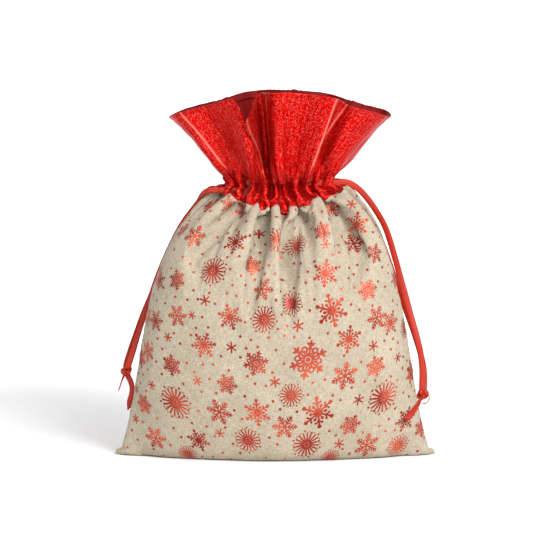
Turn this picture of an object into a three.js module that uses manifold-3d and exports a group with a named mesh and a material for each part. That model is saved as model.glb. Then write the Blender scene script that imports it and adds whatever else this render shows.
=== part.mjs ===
// A drawstring gift sack of printed linen-look cotton, 260 mm wide and about 350 mm tall when it lies flat.
// It stands filled out, with its bottom corners spread to the sides, its neck gathered on two ribbons and its
// shiny collar flared above them. Lengths are in millimetres, +Z is up, +X is the sack's right-hand side as a
// person in front of it sees it, and -Y is its front. The origin is on the floor, under the middle of the base.
//
// Cloth is drawn WALL thick, so that it makes sound solids. The gathers are left out: a wall follows the crests.

import * as THREE from 'three';
import { ParametricGeometry } from 'three/addons/geometries/ParametricGeometry.js';
import { mergeVertices } from 'three/addons/utils/BufferGeometryUtils.js';
import Module from 'manifold-3d';

const wasm = await Module();
wasm.setup();

// ---- driving dimensions ----
const WALL = 1.2; // cloth as it is drawn
const GAP = 0.3; // between pieces that touch on the real sack
const SEAM_GAP = 0.4; // between the front and back pieces at a side seam
const PANEL_TOP = 212; // where the panels end and the collar starts
const NECK_Z = 218; // middle of the drawstring tunnel, the narrowest place
const NECK_HALF_WIDTH = 38;
const NECK_HALF_DEPTH = 15;
const NECK_SQUARENESS = 2.6;
const TUNNEL_HEIGHT = 13;
const RIM_HALF_WIDTH = 85;
const RIM_HALF_DEPTH = 44;
const RIM_SIDE_Z = 271; // the rim droops at the sides
const RIM_FRONT_Z = 290;
const RIM_WAVE = 2.5; // height of the waves round the rim
const RIM_WAVES = 12;
const RIBBON_WIDTH = 5;
const RIBBON_THICK = 0.5;
const STRAND_THICK = 1; // a free strand is drawn thicker than the ribbon
const LEG_Y = 9; // the ribbon's two legs lie this far from the middle of the neck
const RIBBON_STEP = 6; // height between the two ribbons in the tunnel
const EXIT_X = 50; // where a ribbon, out of the neck, starts to hang
const THREAD_RADIUS = 0.35;

// Height, half width, half depth and squareness of the filled sack from the floor to the top of the panels.
// Squareness is a superellipse's exponent: under 2 the ends are pointed, as the spread bottom corners are.
const BODY_STATIONS = [
  [0, 127, 34, 1.35],
  [6, 128.5, 40, 1.45],
  [18, 122, 44, 1.7],
  [32, 118, 46, 1.85],
  [62, 111.5, 48, 2.1],
  [95, 107.5, 49, 2.2],
  [130, 101, 47.5, 2.2],
  [160, 91, 42, 2.2],
  [185, 80, 33, 2.2],
  [200, 69, 25, 2.2],
  [PANEL_TOP, 47, 17, 2.4],
];

const COLOURS = {
  linen: { color: 0xd5c4a6, roughness: 0.9, metalness: 0 },
  lame: { color: 0xb80f0c, roughness: 0.4, metalness: 0.5 },
  satin: { color: 0xdc3418, roughness: 0.45, metalness: 0 },
  redThread: { color: 0xa51410, roughness: 0.7, metalness: 0 },
  linenThread: { color: 0xe0d3b8, roughness: 0.8, metalness: 0 },
};

// ---- helpers for solids ----

// A closed three.js geometry as a solid that can be cut.
function solidFrom(geometry) {
  const bare = geometry.clone();
  bare.deleteAttribute('normal');
  bare.deleteAttribute('uv');
  const merged = mergeVertices(bare, 1e-3);
  return new wasm.Manifold(new wasm.Mesh({
    numProp: 3,
    vertProperties: merged.attributes.position.array,
    triVerts: new Uint32Array(merged.index.array),
  }));
}

// A cut solid as a three.js geometry again.
function geometryFrom(solid) {
  const mesh = solid.getMesh();
  const geometry = new THREE.BufferGeometry();
  geometry.setAttribute('position', new THREE.BufferAttribute(new Float32Array(mesh.vertProperties), 3));
  geometry.setIndex(new THREE.BufferAttribute(new Uint32Array(mesh.triVerts), 1));
  geometry.computeVertexNormals();
  return geometry;
}

function boxSolid(low, high) {
  const box = new THREE.Box3(new THREE.Vector3(...low), new THREE.Vector3(...high));
  const size = box.getSize(new THREE.Vector3());
  const centre = box.getCenter(new THREE.Vector3());
  return solidFrom(new THREE.BoxGeometry(size.x, size.y, size.z).translate(centre.x, centre.y, centre.z));
}

// The half of a solid in front of the side seams (side -1) or behind them (side +1).
function half(solid, side) {
  const reach = 400;
  const near = side * SEAM_GAP / 2;
  const far = side * reach;
  return solid.intersect(boxSolid([-reach, Math.min(near, far), -1], [reach, Math.max(near, far), reach]));
}

// A closed surface whose rows are rings: ring(row, turn) gives a point, turn going from 0 to 1 anticlockwise.
function ringsGeometry(ring, rows, segments) {
  const at = (u, v, target) => target.copy(ring(Math.round(v * rows), u));
  return new ParametricGeometry(at, segments, rows);
}

// A point on a superellipse, at an angle whose cosine and sine are taken to the power 2 / squareness.
function superellipse(turn, halfWidth, halfDepth, squareness) {
  const angle = turn * 2 * Math.PI;
  const bent = (value) => Math.sign(value) * Math.abs(value) ** (2 / squareness);
  const tidy = (value) => (Math.abs(value) < 1e-9 ? 0 : value);
  return [halfWidth * bent(tidy(Math.cos(angle))), halfDepth * bent(tidy(Math.sin(angle)))];
}

// ---- the sack's body: front and back panels ----

// The body's half width, half depth and squareness at a height, on a smooth curve through the stations.
function bodyAt(z) {
  const last = BODY_STATIONS.length - 1;
  const found = BODY_STATIONS.findIndex((station) => station[0] >= z);
  const i = Math.max(1, found < 0 ? last : found);
  const share = (z - BODY_STATIONS[i - 1][0]) / (BODY_STATIONS[i][0] - BODY_STATIONS[i - 1][0]);
  return [1, 2, 3].map((k) => THREE.MathUtils.lerp(BODY_STATIONS[i - 1][k], BODY_STATIONS[i][k], share));
}

// The inner face of the body's wall: the cloth doubles in the pointed corners, so more is taken off there.
function bodyInsideAt(z) {
  const [halfWidth, halfDepth, squareness] = bodyAt(z);
  const corner = 3 * Math.exp(-z / 8);
  return [halfWidth - WALL - corner, halfDepth - WALL, squareness];
}

function bodySolid() {
  const heights = [0, 2, 6, 18, 32, 47, 62, 95, 130, 160, 173, 185, 193, 200, 206, PANEL_TOP];
  const inside = heights.filter((z) => z > 0).reverse();
  const rows = [];
  for (const share of [0, 0.5]) rows.push([share, 0, bodyAt(0)]);
  for (const z of heights) rows.push([1, z, bodyAt(z)]);
  for (const z of inside) rows.push([1, z, bodyInsideAt(z)]);
  for (const share of [1, 0.5, 0]) rows.push([share, WALL, bodyInsideAt(WALL)]);
  const ring = (row, turn) => {
    const [share, z, [halfWidth, halfDepth, squareness]] = rows[row];
    const [x, y] = superellipse(turn, halfWidth * share, halfDepth * share, squareness);
    return new THREE.Vector3(x, y, z);
  };
  return solidFrom(ringsGeometry(ring, rows.length - 1, 56));
}

// ---- the collar ----

// A point on the collar's outer face. share goes from 0 at the seam with the panels, through the neck, to 1 at
// the rim. The wall runs in to the neck first, and then out in a straight flare.
function collarPoint(share, turn) {
  const neckShare = 0.08;
  if (share < neckShare) {
    const [bottomWidth, bottomDepth] = bodyAt(PANEL_TOP);
    const in01 = share / neckShare;
    const width = THREE.MathUtils.lerp(bottomWidth - 1, NECK_HALF_WIDTH, in01);
    const depth = THREE.MathUtils.lerp(bottomDepth - 0.5, NECK_HALF_DEPTH, in01);
    const [x, y] = superellipse(turn, width, depth, NECK_SQUARENESS);
    return new THREE.Vector3(x, y, THREE.MathUtils.lerp(PANEL_TOP + GAP, NECK_Z, in01));
  }
  const out = (share - neckShare) / (1 - neckShare);
  const wave = RIM_WAVE * out * out * Math.cos(turn * 2 * Math.PI * RIM_WAVES);
  const width = THREE.MathUtils.lerp(NECK_HALF_WIDTH, RIM_HALF_WIDTH, out) + wave;
  const depth = THREE.MathUtils.lerp(NECK_HALF_DEPTH, RIM_HALF_DEPTH, out) + wave;
  const [x, y] = superellipse(turn, width, depth, THREE.MathUtils.lerp(NECK_SQUARENESS, 2, out));
  const sideways = Math.cos(turn * 2 * Math.PI) ** 2;
  const top = THREE.MathUtils.lerp(RIM_FRONT_Z, RIM_SIDE_Z, sideways);
  return new THREE.Vector3(x, y, THREE.MathUtils.lerp(NECK_Z, top, out));
}

// The same point moved along the collar's normal, outwards where distance is positive.
function collarOffset(share, turn, distance) {
  const step = 1e-3;
  const point = collarPoint(share, turn);
  const along = collarPoint(share, turn + step).sub(point);
  const up = collarPoint(Math.min(share + step, 1), turn).sub(collarPoint(Math.max(share - step, 0), turn));
  point.addScaledVector(along.cross(up).normalize(), distance);
  point.z = Math.max(point.z, PANEL_TOP + GAP);
  return point;
}

function collarSolid() {
  const shares = [0, 0.08, 0.26, 0.44, 0.62, 0.8, 1];
  const rows = [
    ...shares.map((share) => [share, 0]),
    ...shares.toReversed().map((share) => [share, -WALL]),
    [0, 0],
  ];
  const ring = (row, turn) => collarOffset(rows[row][0], turn, rows[row][1]);
  const wall = solidFrom(ringsGeometry(ring, rows.length - 1, 84));
  const slitReach = 70;
  const slit = boxSolid(
    [-slitReach, -LEG_Y - 1.5, PANEL_TOP - 1],
    [slitReach, LEG_Y + 1.5, NECK_Z + TUNNEL_HEIGHT / 2],
  );
  return wall.subtract(slit);
}

// ---- pieces inside the neck and seams ----

// A tape sewn inside the neck, which makes the tunnel that the ribbons run in.
function tunnelTape(side) {
  const length = 48;
  const thick = 0.8;
  const y = side * (LEG_Y - RIBBON_THICK / 2 - 1 - thick / 2);
  return new THREE.BoxGeometry(length, thick, TUNNEL_HEIGHT).translate(0, y, NECK_Z);
}

// The overlocked allowance of a side seam: a narrow strip that stands inwards from the wall, at y = 0.
function sideSeam(side) {
  const heights = [18, 32, 47, 62, 95, 130, 160, 185, 200, 206];
  const allowance = 6;
  const edge = (z) => bodyInsideAt(z)[0] - 1;
  const outline = new THREE.Shape();
  heights.forEach((z, i) => (i ? outline.lineTo(edge(z), z) : outline.moveTo(edge(z), z)));
  heights.toReversed().forEach((z) => outline.lineTo(edge(z) - allowance, z));
  const strip = new THREE.ExtrudeGeometry(outline, { depth: WALL, bevelEnabled: false });
  strip.translate(0, 0, -WALL / 2).rotateX(Math.PI / 2);
  return side > 0 ? strip : strip.rotateZ(Math.PI);
}

// The overlocked allowance of the bottom seam, standing up from the base along x.
function bottomSeam() {
  const length = 226;
  const allowance = 6;
  const lift = WALL + GAP + 0.2;
  return new THREE.BoxGeometry(length, WALL, allowance).translate(0, 0, lift + allowance / 2);
}

// The allowance where the collar is sewn to a panel: a strip inside, under the tunnel tape.
function joinSeam(side) {
  const length = 46;
  const height = 5;
  const thick = 1;
  const y = side * (bodyInsideAt(PANEL_TOP)[1] - 2.4);
  return new THREE.BoxGeometry(length, thick, height).translate(0, y, PANEL_TOP - height / 2 - GAP - 1);
}

// A row of stitches round the collar, drawn as one closed thread on its outer face.
function collarThread(share) {
  const points = [];
  const count = 84;
  for (let i = 0; i < count; i += 1) points.push(collarOffset(share, i / count, GAP + THREAD_RADIUS));
  return new THREE.TubeGeometry(new THREE.CatmullRomCurve3(points, true), count, THREAD_RADIUS, 4, true);
}

// A row of stitches round the top of the panels.
function panelThread() {
  const z = PANEL_TOP - 5;
  const [halfWidth, halfDepth, squareness] = bodyAt(z);
  const clear = GAP + THREAD_RADIUS + 0.4;
  const points = [];
  const count = 64;
  for (let i = 0; i < count; i += 1) {
    const [x, y] = superellipse(i / count, halfWidth + 2 * clear, halfDepth + clear, squareness);
    points.push(new THREE.Vector3(x, y, z));
  }
  return new THREE.TubeGeometry(new THREE.CatmullRomCurve3(points, true), count, THREAD_RADIUS, 4, true);
}

// ---- ribbons ----

// A ribbon's run through the tunnel: two straight legs and the bend at the far end, on edge.
// side is the side of the sack on which both of its ends leave.
function ribbonRun(side) {
  const bendX = 21;
  const inner = LEG_Y - RIBBON_THICK / 2;
  const outer = LEG_Y + RIBBON_THICK / 2;
  const outline = new THREE.Shape();
  outline.moveTo(-EXIT_X, -outer);
  outline.absarc(bendX, 0, outer, -Math.PI / 2, Math.PI / 2, false);
  outline.lineTo(-EXIT_X, outer);
  outline.lineTo(-EXIT_X, inner);
  outline.absarc(bendX, 0, inner, Math.PI / 2, -Math.PI / 2, true);
  outline.lineTo(-EXIT_X, -inner);
  outline.closePath();
  const run = new THREE.ExtrudeGeometry(outline, { depth: RIBBON_WIDTH, bevelEnabled: false, curveSegments: 12 });
  run.translate(0, 0, ribbonHeight(side) - RIBBON_WIDTH / 2);
  return side < 0 ? run : run.rotateZ(Math.PI);
}

// The left ribbon lies in the lower half of the tunnel, and the right one in the upper half.
function ribbonHeight(side) {
  return NECK_Z + side * RIBBON_STEP / 2;
}

// Routes of the free strands, from where each leaves the neck to where it meets its knot, and of the cut tails
// past the knots. A strand in front starts on the ribbon's front leg, and one behind on its back leg.
const KNOTS = {
  left: [-120.6, 6, 67],
  right: [119.4, -1, 49],
};
const STRANDS = {
  left_strand_front: [
    [-50.5, -9, 215], [-55.4, -8.6, 214.8], [-61.6, -5.4, 211.6], [-68.4, 0.4, 205], [-75.4, 6.2, 196],
    [-82.6, 11.4, 185], [-88.6, 16, 171], [-93.4, 19.4, 155.4], [-98, 20, 139.5], [-103, 17, 123.5],
    [-107.6, 13, 109], [-111.8, 9, 95.5], [-115.4, 6, 83], [-118.4, 4, 73.6],
  ],
  left_strand_back: [
    [-50.5, 9, 215], [-54.6, 9.4, 214.4], [-60, 12, 210.4], [-66.5, 15, 202.6], [-73, 18, 192],
    [-79.5, 21.5, 181], [-86, 25, 168], [-92, 26.5, 154], [-97.5, 25.5, 139], [-103, 23, 124],
    [-108, 20, 110], [-113, 16.4, 96], [-117.4, 13, 83.4], [-120.6, 10.4, 73],
  ],
  right_strand_front: [
    [50.5, -9, 221], [56.4, -8.8, 221.8], [64, -7, 220], [71.8, -4.4, 215], [79.4, -1.6, 207.6],
    [86, 0.6, 198], [91, 2, 186.5], [94.6, 3, 174], [98, 3.6, 160], [101.5, 3.6, 145], [105.4, 3, 129.5],
    [109.6, 2, 114], [114, 0.8, 98.5], [117.6, -0.6, 83], [119.2, -2, 69], [119, -3.2, 56],
  ],
  right_strand_back: [
    [50.5, 9, 221], [54.6, 9.6, 220], [60, 12.6, 215], [65.6, 15.6, 208],
    [71.5, 19, 199.4], [79, 22.6, 187.4], [85.6, 25.4, 173.6], [91.4, 26.6, 158.6], [96.8, 26, 143],
    [102.4, 23.6, 127.4], [108, 19.6, 112], [113.4, 14.8, 97], [118, 10.2, 82], [120.8, 6.4, 68],
    [121, 3.4, 55],
  ],
};
const TAILS = {
  left_tail_long: [
    [-119.4, 7.4, 62.4], [-117.4, 7, 58.4], [-116.2, 6.6, 53], [-116.8, 7, 47.4], [-118.4, 8.2, 41.6],
    [-118.8, 9, 35.8],
  ],
  left_tail_short: [[-122.6, 1.6, 62.8], [-123.6, 1, 60], [-124.8, 0.6, 56.4], [-126, 0.4, 53]],
  right_tail_long: [
    [117.4, -7.6, 46], [115.4, -12.6, 43], [112.4, -17.8, 39.6], [109, -22.8, 36], [105.6, -27, 33],
  ],
  right_tail_short: [[121.4, 1, 44.2], [123, 1, 41], [124, 0.8, 37.4], [124.2, 0.4, 33.6]],
};

// A free stretch of ribbon along a route: a flat section with eight sides.
function strand(route) {
  const path = new THREE.CatmullRomCurve3(route.map((point) => new THREE.Vector3(...point)));
  const section = new THREE.Shape();
  const flat = RIBBON_WIDTH / 2;
  const thin = STRAND_THICK / 2;
  const corners = [
    [thin, flat * 0.8], [thin * 0.4, flat], [-thin * 0.4, flat], [-thin, flat * 0.8],
    [-thin, -flat * 0.8], [-thin * 0.4, -flat], [thin * 0.4, -flat], [thin, -flat * 0.8],
  ];
  section.setFromPoints(corners.map(([x, y]) => new THREE.Vector2(x, y)));
  const stepLength = 8;
  const steps = Math.max(6, Math.round(path.getLength() / stepLength));
  return new THREE.ExtrudeGeometry(section, { steps, bevelEnabled: false, extrudePath: path });
}

// The overhand knot that ties a ribbon's two ends together, as one lump.
function knot(centre) {
  return new THREE.SphereGeometry(1, 12, 8).scale(4, 4.8, 4).translate(...centre);
}

// ---- the assembly ----

const sack = new THREE.Group();
sack.name = 'gift_sack';

function addPiece(name, geometry, look) {
  const mesh = new THREE.Mesh(geometry, new THREE.MeshStandardMaterial(COLOURS[look]));
  mesh.name = name;
  sack.add(mesh);
}

const body = bodySolid();
const collar = collarSolid();
for (const [where, side] of [['front', -1], ['back', 1]]) {
  addPiece(`${where}_panel`, geometryFrom(half(body, side)), 'linen');
  addPiece(`collar_${where}`, geometryFrom(half(collar, side)), 'lame');
  addPiece(`tunnel_tape_${where}`, tunnelTape(side), 'linen');
  addPiece(`join_seam_${where}`, joinSeam(side), 'linenThread');
}
for (const [where, side] of [['left', -1], ['right', 1]]) {
  addPiece(`side_seam_${where}`, sideSeam(side), 'linenThread');
  addPiece(`${where}_ribbon_run`, ribbonRun(side), 'satin');
  addPiece(`${where}_knot`, knot(KNOTS[where]), 'satin');
}
addPiece('bottom_seam', bottomSeam(), 'linenThread');
addPiece('hem_stitching', collarThread(0.94), 'redThread');
addPiece('tunnel_stitching_upper', collarThread(0.2), 'redThread');
addPiece('tunnel_stitching_lower', panelThread(), 'linenThread');
for (const [name, route] of Object.entries({ ...STRANDS, ...TAILS })) addPiece(name, strand(route), 'satin');

export default sack;
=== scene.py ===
import math

import bmesh
import bpy
import numpy as np
from mathutils import Matrix, Vector


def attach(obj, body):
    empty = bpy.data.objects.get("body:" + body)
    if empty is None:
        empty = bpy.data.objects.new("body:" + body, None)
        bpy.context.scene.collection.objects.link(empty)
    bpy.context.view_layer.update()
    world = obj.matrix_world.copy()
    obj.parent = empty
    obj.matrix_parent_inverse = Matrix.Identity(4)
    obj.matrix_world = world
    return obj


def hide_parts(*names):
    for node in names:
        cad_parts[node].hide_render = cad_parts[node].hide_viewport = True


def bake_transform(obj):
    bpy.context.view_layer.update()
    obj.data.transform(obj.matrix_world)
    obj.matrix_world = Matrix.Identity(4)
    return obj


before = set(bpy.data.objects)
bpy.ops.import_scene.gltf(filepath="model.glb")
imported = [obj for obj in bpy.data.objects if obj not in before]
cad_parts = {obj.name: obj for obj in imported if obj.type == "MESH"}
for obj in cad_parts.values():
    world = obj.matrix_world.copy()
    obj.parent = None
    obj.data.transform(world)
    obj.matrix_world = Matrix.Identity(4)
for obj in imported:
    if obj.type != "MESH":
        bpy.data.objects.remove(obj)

scene = bpy.context.scene
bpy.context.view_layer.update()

# ---- camera, floor and light -------------------------------------------------------------------------
# The view: a long lens a little above the table, a pale sweep that runs up behind the sack, one large
# soft light from the right and a weaker one from the left.

lens = bpy.data.cameras.new("camera")
lens.lens, lens.sensor_width, lens.clip_end = 172.0, 36.0, 20.0
camera = bpy.data.objects.new("camera", lens)
aim = Vector((0.0, -0.02, 0.1478))
camera_rise = math.radians(5.5)
towards_camera = Vector((0.0, -math.cos(camera_rise), math.sin(camera_rise)))
camera.location = aim + towards_camera * 2.1
camera.rotation_euler = (-towards_camera).to_track_quat("-Z", "Y").to_euler()
scene.collection.objects.link(camera)
scene.camera = camera
scene.view_settings.view_transform = "Standard"

sweep = bmesh.new()
bmesh.ops.create_grid(sweep, x_segments=1, y_segments=1, size=3.0,
                      matrix=Matrix.Translation((0, -1.2, -0.0004)))
back_edge = [e for e in sweep.edges if all(v.co.y > 1.7 for v in e.verts)]
bmesh.ops.spin(sweep, geom=back_edge, cent=(0, 1.8, 0.8996), axis=(1, 0, 0), angle=math.radians(90), steps=16)
for vert in sweep.verts:
    if vert.co.z > 0.85:
        vert.co.z = 3.0
bmesh.ops.recalc_face_normals(sweep, faces=sweep.faces)
sweep_mesh = bpy.data.meshes.new("sweep")
sweep.to_mesh(sweep_mesh)
sweep.free()
for face in sweep_mesh.polygons:
    face.use_smooth = True
sweep_finish = bpy.data.materials.new("pale sweep")
sweep_finish.use_nodes = True
sweep_finish.node_tree.nodes["Principled BSDF"].inputs["Base Color"].default_value = (0.86, 0.86, 0.86, 1)
sweep_finish.node_tree.nodes["Principled BSDF"].inputs["Roughness"].default_value = 0.85
# The far part of the sweep glows, more strongly towards the back, so that it stays white.
where = sweep_finish.node_tree.nodes.new("ShaderNodeTexCoord")
apart = sweep_finish.node_tree.nodes.new("ShaderNodeSeparateXYZ")
glow = sweep_finish.node_tree.nodes.new("ShaderNodeMapRange")
glow.interpolation_type = "SMOOTHSTEP"
glow.inputs["From Min"].default_value, glow.inputs["From Max"].default_value = 0.15, 1.0
glow.inputs["To Max"].default_value = 0.4
sweep_finish.node_tree.links.new(where.outputs["Object"], apart.inputs[0])
sweep_finish.node_tree.links.new(apart.outputs[1], glow.inputs["Value"])
sweep_finish.node_tree.links.new(
    glow.outputs[0], sweep_finish.node_tree.nodes["Principled BSDF"].inputs["Emission Strength"])
sweep_finish.node_tree.nodes["Principled BSDF"].inputs["Emission Color"].default_value = (1, 1, 1, 1)
sweep_mesh.materials.append(sweep_finish)
sweep_piece = bpy.data.objects.new("sweep", sweep_mesh)
scene.collection.objects.link(sweep_piece)

for name, place, size, power in (("key_light", (0.95, -1.50, 1.20), 0.85, 47.0),
                                 ("fill_light", (-0.7, -1.7, 0.7), 1.3, 7.0)):
    lamp = bpy.data.lights.new(name, "AREA")
    lamp.size, lamp.energy = size, power
    light = bpy.data.objects.new(name, lamp)
    light.location = place
    light.rotation_euler = (Vector((0, 0, 0.14)) - Vector(place)).to_track_quat("-Z", "Y").to_euler()
    scene.collection.objects.link(light)
room = bpy.data.worlds.new("room")
room.use_nodes = True
room.node_tree.nodes["Background"].inputs["Color"].default_value = (1, 1, 1, 1)
room.node_tree.nodes["Background"].inputs["Strength"].default_value = 0.78
scene.world = room

# ---- the ribbons -------------------------------------------------------------------------------------
# Two loops of satin ribbon, 5 mm wide. Each runs right round the neck inside the tunnel, leaves at its own
# side, and hangs down to an overhand knot that ties its two ends together, with the cut tails past it.

RIBBON_WIDTH = 0.005
RIBBON_THICK = 0.0003


def node(tree, kind, *links, **settings):
    """Adds a shader node. settings are its own properties; each link is (input, value or another output)."""
    made = tree.nodes.new(kind)
    for name, value in settings.items():
        setattr(made, name, value)
    for name, value in links:
        if hasattr(value, "is_linked"):
            tree.links.new(value, made.inputs[name])
        else:
            made.inputs[name].default_value = value
    return made


def new_finish(name, **settings):
    """A material with its Principled shader's sockets set, such as Roughness or Sheen_Weight."""
    finish = bpy.data.materials.new(name)
    finish.use_nodes = True
    shader = finish.node_tree.nodes["Principled BSDF"]
    for socket, value in settings.items():
        shader.inputs[socket.replace("_", " ")].default_value = value
    return finish, finish.node_tree, shader


def maths(tree, operation, *values):
    """A Math node's output. values are numbers or other outputs."""
    return node(tree, "ShaderNodeMath", *enumerate(values), operation=operation).outputs[0]


def blend_colours(tree, share, low, high):
    """low where share is 0, high where it is 1. Both are colours or outputs."""
    mixed = node(tree, "ShaderNodeMix", (0, share), (6, low), (7, high), data_type="RGBA")
    return mixed.outputs[2]


def cut_place(tree):
    """The u and v outputs of a piece's own UV map, in metres on the flat cloth or ribbon."""
    uv = node(tree, "ShaderNodeUVMap", uv_map="cut").outputs[0]
    apart = node(tree, "ShaderNodeSeparateXYZ", (0, uv))
    return uv, apart.outputs[0], apart.outputs[1]


def patches(tree, uv, across, along, **more):
    """Noise on the flat cloth: across and along are its scale per metre each way."""
    stretched = node(tree, "ShaderNodeMapping", (0, uv), ("Scale", (across, along, 1.0)))
    links = [(name, value) for name, value in more.items()]
    noise = node(tree, "ShaderNodeTexNoise", ("Vector", stretched.outputs[0]), ("Scale", 1.0), *links)
    return noise.outputs[0]


satin, tree, shader = new_finish("satin ribbon", Roughness=0.38, Sheen_Weight=0.15, Sheen_Roughness=0.35,
                                 Sheen_Tint=(1.0, 0.40, 0.25, 1), Specular_IOR_Level=0.30)
uv, u, v = cut_place(tree)
edge = maths(tree, "SMOOTH_MIN", maths(tree, "ABSOLUTE", u), 0.0026, 0.0004)
selvedge = maths(tree, "GREATER_THAN", edge, 0.00205)
ribs = maths(tree, "SINE", maths(tree, "MULTIPLY", v, 2 * math.pi / 0.00035))
streaks = patches(tree, uv, 2600.0, 45.0, Detail=3.0)
shade = node(tree, "ShaderNodeValToRGB", (0, streaks))
shade.color_ramp.elements[0].position, shade.color_ramp.elements[0].color = 0.32, (0.27, 0.008, 0.0015, 1)
shade.color_ramp.elements[1].position, shade.color_ramp.elements[1].color = 0.68, (0.46, 0.023, 0.003, 1)
tree.links.new(blend_colours(tree, maths(tree, "MULTIPLY", selvedge, 0.55), shade.outputs[0],
                             (0.20, 0.005, 0.001, 1)),
               shader.inputs["Base Color"])
height = maths(tree, "ADD", maths(tree, "MULTIPLY", ribs, 0.25), streaks)
bump = node(tree, "ShaderNodeBump", ("Height", height), ("Strength", 0.35), ("Distance", 0.00008))
tree.links.new(bump.outputs[0], shader.inputs["Normal"])


def smooth_path(points, step):
    """Points a step apart on a smooth curve through the given ones."""
    p = np.array(points, float)
    p = np.vstack([2 * p[0] - p[1], p, 2 * p[-1] - p[-2]])
    share = np.linspace(0, 1, 13)[:-1, None]
    curve = []
    for a, b, c, d in zip(p, p[1:], p[2:], p[3:]):
        curve.append(0.5 * (2 * b + (c - a) * share + (2 * a - 5 * b + 4 * c - d) * share ** 2
                            + (3 * b - a - 3 * c + d) * share ** 3))
    curve = np.vstack([*curve, p[-2]])
    run = np.concatenate([[0], np.cumsum(np.linalg.norm(np.diff(curve, axis=0), axis=1))])
    at = np.linspace(0, run[-1], max(4, int(round(run[-1] / step)) + 1))
    return np.stack([np.interp(at, run, curve[:, i]) for i in range(3)], 1)


def add_piece(name, mesh, finish, body):
    """Links a finished mesh as a piece that rides on a body."""
    for face in mesh.polygons:
        face.use_smooth = True
    if finish:
        mesh.materials.append(finish)
    piece = bpy.data.objects.new(name, mesh)
    scene.collection.objects.link(piece)
    if body:
        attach(piece, body)
    return piece


def ribbon(name, points, turns, body, width=RIBBON_WIDTH, step=0.0013, slant=0.0, cup=0.00018):
    """A flat ribbon along points. turns are angles in degrees, spread evenly along it, by which its face turns
    from the front (-Y) towards +X. slant cuts its far end at an angle."""
    path = smooth_path(points, step)
    count, across = len(path), 6
    tangent = np.gradient(path, axis=0)
    tangent /= np.linalg.norm(tangent, axis=1)[:, None]
    angle = np.radians(np.interp(np.linspace(0, 1, count), np.linspace(0, 1, len(turns)), turns))
    face = np.stack([np.sin(angle), -np.cos(angle), 0 * angle], 1)
    wide = np.cross(tangent, face)
    wide /= np.linalg.norm(wide, axis=1)[:, None]
    normal = np.cross(wide, tangent)
    made = bmesh.new()
    bmesh.ops.create_grid(made, x_segments=across, y_segments=count - 1, size=0.5)
    cut = made.loops.layers.uv.new("cut")
    places = {}
    for vert in made.verts:
        i, off = int(round((vert.co.y + 0.5) * (count - 1))), vert.co.x
        reach = slant * off * max(0.0, 1 - (count - 1 - i) / 4)
        places[vert.index] = (off * width, i * step)
        vert.co = Vector(path[i] + wide[i] * off * width + tangent[i] * reach
                         + normal[i] * cup * math.cos(2 * math.pi * off))
    for loop in (loop for quad in made.faces for loop in quad.loops):
        loop[cut].uv = places[loop.vert.index]
    bmesh.ops.recalc_face_normals(made, faces=made.faces)
    bmesh.ops.solidify(made, geom=made.faces, thickness=RIBBON_THICK)
    bmesh.ops.recalc_face_normals(made, faces=made.faces)
    mesh = bpy.data.meshes.new(name)
    made.to_mesh(mesh)
    made.free()
    return add_piece(name, mesh, satin, body), path


def millimetres(*points):
    """Points given in millimetres, in metres."""
    return [tuple(value / 1000 for value in point) for point in points]


# The two free strands of each ribbon, from the mouth of the tunnel to the knot, as they lie over the shoulder
# and hang beside the sack.
STRANDS = {
    "left_strand_front": millimetres(
        (-45, -9, 215), (-50.5, -9, 215), (-53.2, -8.6, 214.6), (-56.4, -5, 212.6), (-58.8, 1.4, 209.6),
        (-61.4, 8.8, 204.6), (-67, 15.2, 197), (-74.6, 18.6, 186.6), (-82.4, 20.8, 172.4),
        (-89.8, 21.8, 156.4), (-96.4, 20.6, 139.8), (-102, 17.4, 123.5), (-107.6, 13, 109),
        (-111.8, 9, 95.5), (-115.4, 6, 83), (-118.4, 4, 73.6), (-119.8, 4, 69)),
    "left_strand_back": millimetres(
        (-45, 9, 215), (-50.5, 9, 215), (-53, 9.6, 214), (-56.4, 12.4, 210), (-60.4, 15.6, 203.6),
        (-66.4, 19.2, 193.6), (-73.6, 22.4, 182.6), (-81, 25.4, 169), (-88.6, 26.8, 154.6),
        (-95.4, 26, 139.6), (-102.2, 23.4, 124), (-108, 20, 110), (-113, 16.4, 96), (-117.4, 13, 83.4),
        (-120.6, 10.4, 73), (-121, 8.6, 69)),
    "right_strand_front": millimetres(
        (45, -9, 221), (50.5, -9, 221), (55.2, -8.9, 221.8), (61.4, -7.4, 219.8), (67.8, -5.2, 215),
        (74.4, -2.6, 207.6), (81.2, 0, 198), (87.8, 2, 186.5), (92.6, 3.2, 174), (96.8, 3.6, 160),
        (101, 3.6, 145), (105.4, 3, 129.5), (109.6, 2, 114), (114, 0.8, 98.5), (117.6, -0.6, 83),
        (119.2, -2, 69), (119, -3.2, 56), (119.2, -2.4, 51)),
    "right_strand_back": millimetres(
        (45, 9, 221), (50.5, 9, 221), (54.6, 9.6, 220), (60, 12.6, 215), (65.6, 15.6, 208), (71.5, 19, 199.4),
        (79, 22.6, 187.4), (85.6, 25.4, 173.6), (91.4, 26.6, 158.6), (96.8, 26, 143), (102.4, 23.6, 127.4),
        (108, 19.6, 112), (113.4, 14.8, 97), (118, 10.2, 82), (120.8, 6.4, 68), (121, 3.4, 55),
                                     (120.4, 1, 51)),
}
STRAND_TURNS = {"left_strand_front": (0, 0, 14, 26, 8, -6, -18, 4),
                "left_strand_back": (0, 0, -8, 6, 16, 8, 20, 6),
                "right_strand_front": (0, 0, -18, -6, 6, 14, -6, 10),
                "right_strand_back": (0, 0, 14, -6, -20, -8, 6, -8)}
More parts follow.
